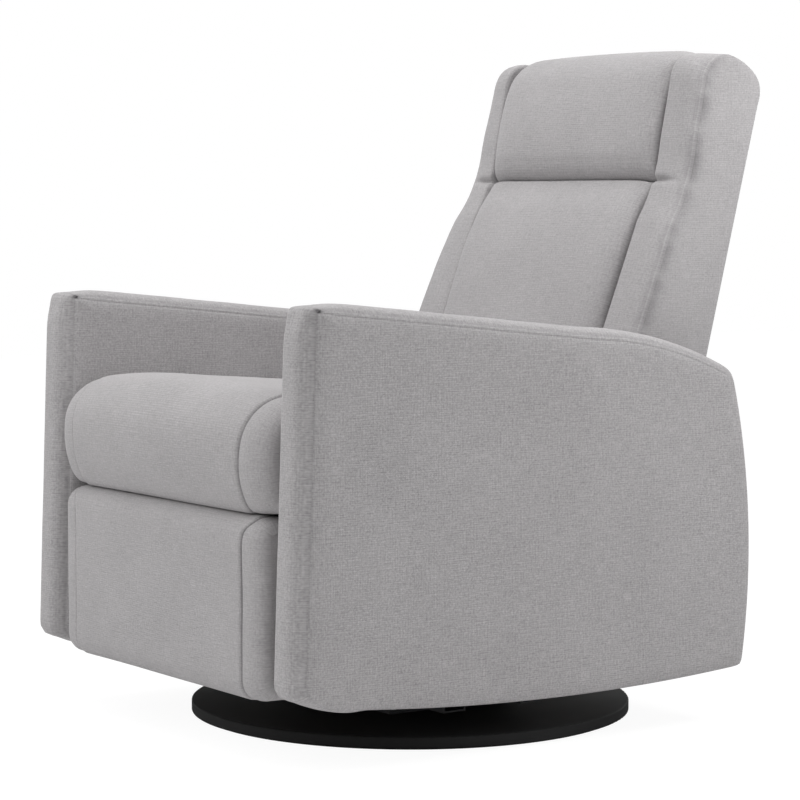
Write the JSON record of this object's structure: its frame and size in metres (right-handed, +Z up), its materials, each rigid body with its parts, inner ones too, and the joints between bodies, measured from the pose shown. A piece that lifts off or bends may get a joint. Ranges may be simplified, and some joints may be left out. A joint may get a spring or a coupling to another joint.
{
  "type": "swivel rocker recliner",
  "caption": "Upholstered armchair that swivels on a round black disc base, rocks on sprung pivots, reclines its back and lifts a padded footrest panel from under the seat.",
  "frame": {"origin": "on the floor, under the centre of the round base, on the swivel axis", "axes": "+Z up, -Y the way the sitter faces, +X towards the sitter's left"},
  "size_m": [0.788, 0.9135, 1.0066],
  "materials": {
    "upholstery": "pale warm grey linen-look woven cloth",
    "frame_wood": "plain sanded hardwood and plywood",
    "mechanism_steel": "black powder coat",
    "bright_steel": "zinc plated",
    "base_black": "satin black paint on fibreboard",
    "rubber_black": "matt",
    "nylon": "natural nylon",
    "webbing": "elastic furniture webbing",
    "grip_black": "fine moulded texture"
  },
  "bodies": {
    "base": {"base_floor_pad": "rubber_black", "base_disc": "base_black", "swivel_lower_plate": "mechanism_steel", "swivel_kingpin": "bright_steel", "bearing_balls": "bright_steel", "swivel_plate_screws": "bright_steel"},
    "swivel": {"swivel_upper_plate": "mechanism_steel", "swivel_beams": "mechanism_steel", "beam_bolts": "bright_steel", "rocker_bracket_left": "mechanism_steel", "rocker_bracket_right": "mechanism_steel", "rocker_bushes": "nylon", "rock_buffers": "rubber_black", "rocker_springs": "bright_steel"},
    "chair": {"rocker_arm_left": "mechanism_steel", "rocker_arm_right": "mechanism_steel", "rocker_pins": "bright_steel", "cross_rails": "frame_wood", "side_rail_left": "frame_wood", "side_rail_right": "frame_wood", "side_plate_left": "mechanism_steel", "side_plate_right": "mechanism_steel", "seat_rail_front": "frame_wood", "seat_rail_rear": "frame_wood", "seat_webbing": "webbing", "seat_cushion": "upholstery", "arm_board_left": "frame_wood", "arm_board_right": "frame_wood", "arm_cover_left": "upholstery", "arm_cover_right": "upholstery", "frame_bolts": "bright_steel", "rear_board": "frame_wood", "rear_pad": "upholstery", "drive_bushes": "nylon"},
    "backrest": {"back_upright_left": "frame_wood", "back_upright_right": "frame_wood", "back_rails": "frame_wood", "back_bracket_left": "mechanism_steel", "back_bracket_right": "mechanism_steel", "back_hinge_pins": "bright_steel", "lumbar_cushion": "upholstery", "headrest_pillow": "upholstery", "side_bolster_left": "upholstery", "side_bolster_right": "upholstery", "back_panel": "upholstery"},
    "footrest_drive": {"drive_tube": "mechanism_steel", "drive_link_left": "mechanism_steel", "drive_link_right": "mechanism_steel", "drive_link_pins": "bright_steel", "recline_lever": "mechanism_steel", "lever_grip": "grip_black"},
    "cross_links": {"cross_links": "mechanism_steel", "guide_pins": "bright_steel"},
    "outer_links": {"outer_links": "mechanism_steel"},
    "footrest": {"footrest_board": "frame_wood", "footrest_pad": "upholstery", "footrest_bracket_left": "mechanism_steel", "footrest_bracket_right": "mechanism_steel", "footrest_pins": "bright_steel"}
  },
  "joints": [
    {"name": "swivel_turn", "type": "hinge", "parent": "base", "child": "swivel", "pos_m": [0, 0, 0.0302], "axis": [0, 0, 1], "continuous": true},
    {"name": "rock", "type": "hinge", "parent": "swivel", "child": "chair", "pos_m": [0, 0, 0.1502], "axis": [1, 0, 0], "range_deg": [-8, 8], "stiffness_Nm_per_rad": 700, "springref_deg": -0.77, "deforming": ["rocker_springs"]},
    {"name": "back_recline", "type": "hinge", "parent": "chair", "child": "backrest", "pos_m": [0, 0.205, 0.345], "axis": [-1, 0, 0], "range_deg": [0, 30]},
    {"name": "footrest_lift", "type": "hinge", "parent": "chair", "child": "footrest_drive", "pos_m": [0, -0.235, 0.275], "axis": [-1, 0, 0], "range_deg": [0, 85]},
    {"name": "cross_link_swing", "type": "hinge", "parent": "footrest_drive", "child": "cross_links", "pos_m": [0, -0.23989, 0.13509], "axis": [-1, 0, 0], "range_deg": [-117.5, 0]},
    {"name": "outer_link_swing", "type": "hinge", "parent": "footrest_drive", "child": "outer_links", "pos_m": [0, -0.2418, 0.08012], "axis": [-1, 0, 0], "range_deg": [-117.5, 0]},
    {"name": "footrest_tilt", "type": "hinge", "parent": "cross_links", "child": "footrest", "pos_m": [0, -0.334, 0.279], "axis": [-1, 0, 0], "range_deg": [0, 117.5]}
  ],
  "couplings": [
    {"joint": "cross_link_swing", "follows": "footrest_lift", "ratio": -1.3765},
    {"joint": "outer_link_swing", "follows": "footrest_lift", "ratio": -1.3765},
    {"joint": "footrest_tilt", "follows": "footrest_lift", "ratio": 1.3765}
  ]
}
